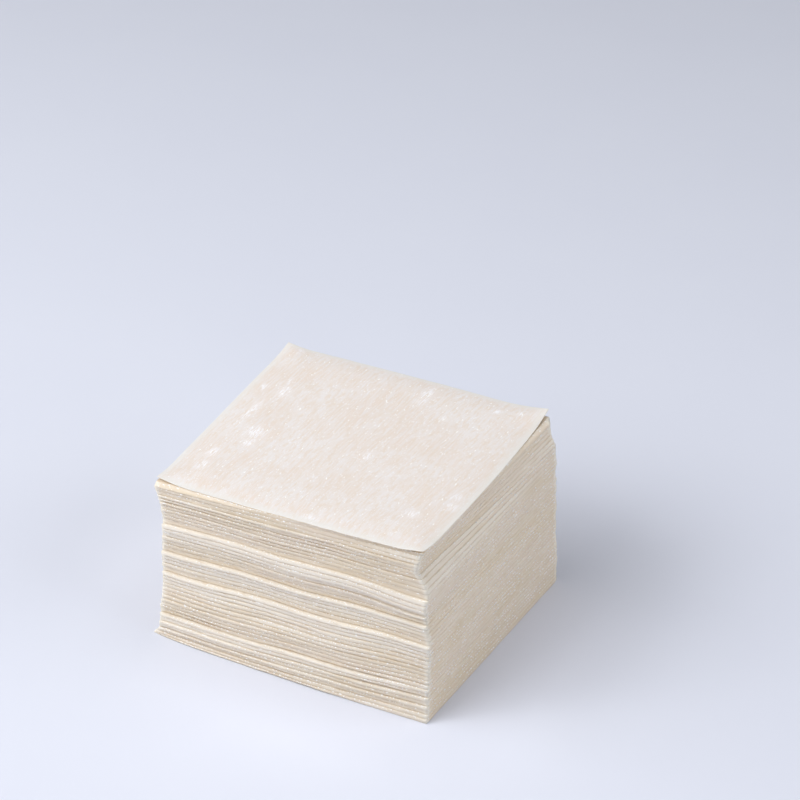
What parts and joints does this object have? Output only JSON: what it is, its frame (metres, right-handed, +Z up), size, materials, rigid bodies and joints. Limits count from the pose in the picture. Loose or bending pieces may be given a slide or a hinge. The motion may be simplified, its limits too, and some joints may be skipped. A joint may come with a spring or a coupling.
{
  "type": "stack of wonton wrappers",
  "caption": "Loose upright stack of fresh, square-cut wonton wrappers: thin floured sheets of rolled dough, slightly slipped on each other, with the top one askew and its corners curling.",
  "frame": {"origin": "on the surface that the stack stands on, below the centre of the stack's extent in X and Y", "axes": "+X along the wrappers' long side, to the right of the front; +Y along their short side, from the front to the back; +Z up through the stack"},
  "size_m": [0.0954, 0.0878, 0.0581],
  "materials": {
    "top_dough": "raw rolled dough, matt and pale, dusted with dry starch",
    "dough": "cut edges of raw rolled dough, cream, matt, with starch between the sheets"
  },
  "bodies": {
    "root": {"wrapper_01": "dough", "wrapper_02": "dough", "wrapper_03": "dough", "wrapper_04": "dough", "wrapper_05": "dough", "wrapper_06": "dough", "wrapper_07": "dough", "wrapper_08": "dough", "wrapper_09": "dough", "wrapper_10": "dough", "wrapper_11": "dough", "wrapper_12": "dough", "wrapper_13": "dough", "wrapper_14": "dough", "wrapper_15": "dough", "wrapper_16": "dough", "wrapper_17": "dough", "wrapper_18": "dough", "wrapper_19": "dough", "wrapper_20": "dough", "wrapper_21": "dough", "wrapper_22": "dough", "wrapper_23": "dough", "wrapper_24": "dough", "wrapper_25": "dough", "wrapper_26": "dough", "wrapper_27": "dough", "wrapper_28": "dough", "wrapper_29": "dough", "wrapper_30": "dough", "wrapper_31": "dough", "wrapper_32": "dough", "wrapper_33": "dough", "wrapper_34": "dough", "wrapper_35": "dough", "wrapper_36": "dough", "wrapper_37": "dough", "wrapper_38": "dough", "wrapper_39": "dough", "wrapper_40": "dough", "wrapper_41": "dough", "wrapper_42": "dough", "wrapper_43": "top_dough"}
  },
  "joints": []
}
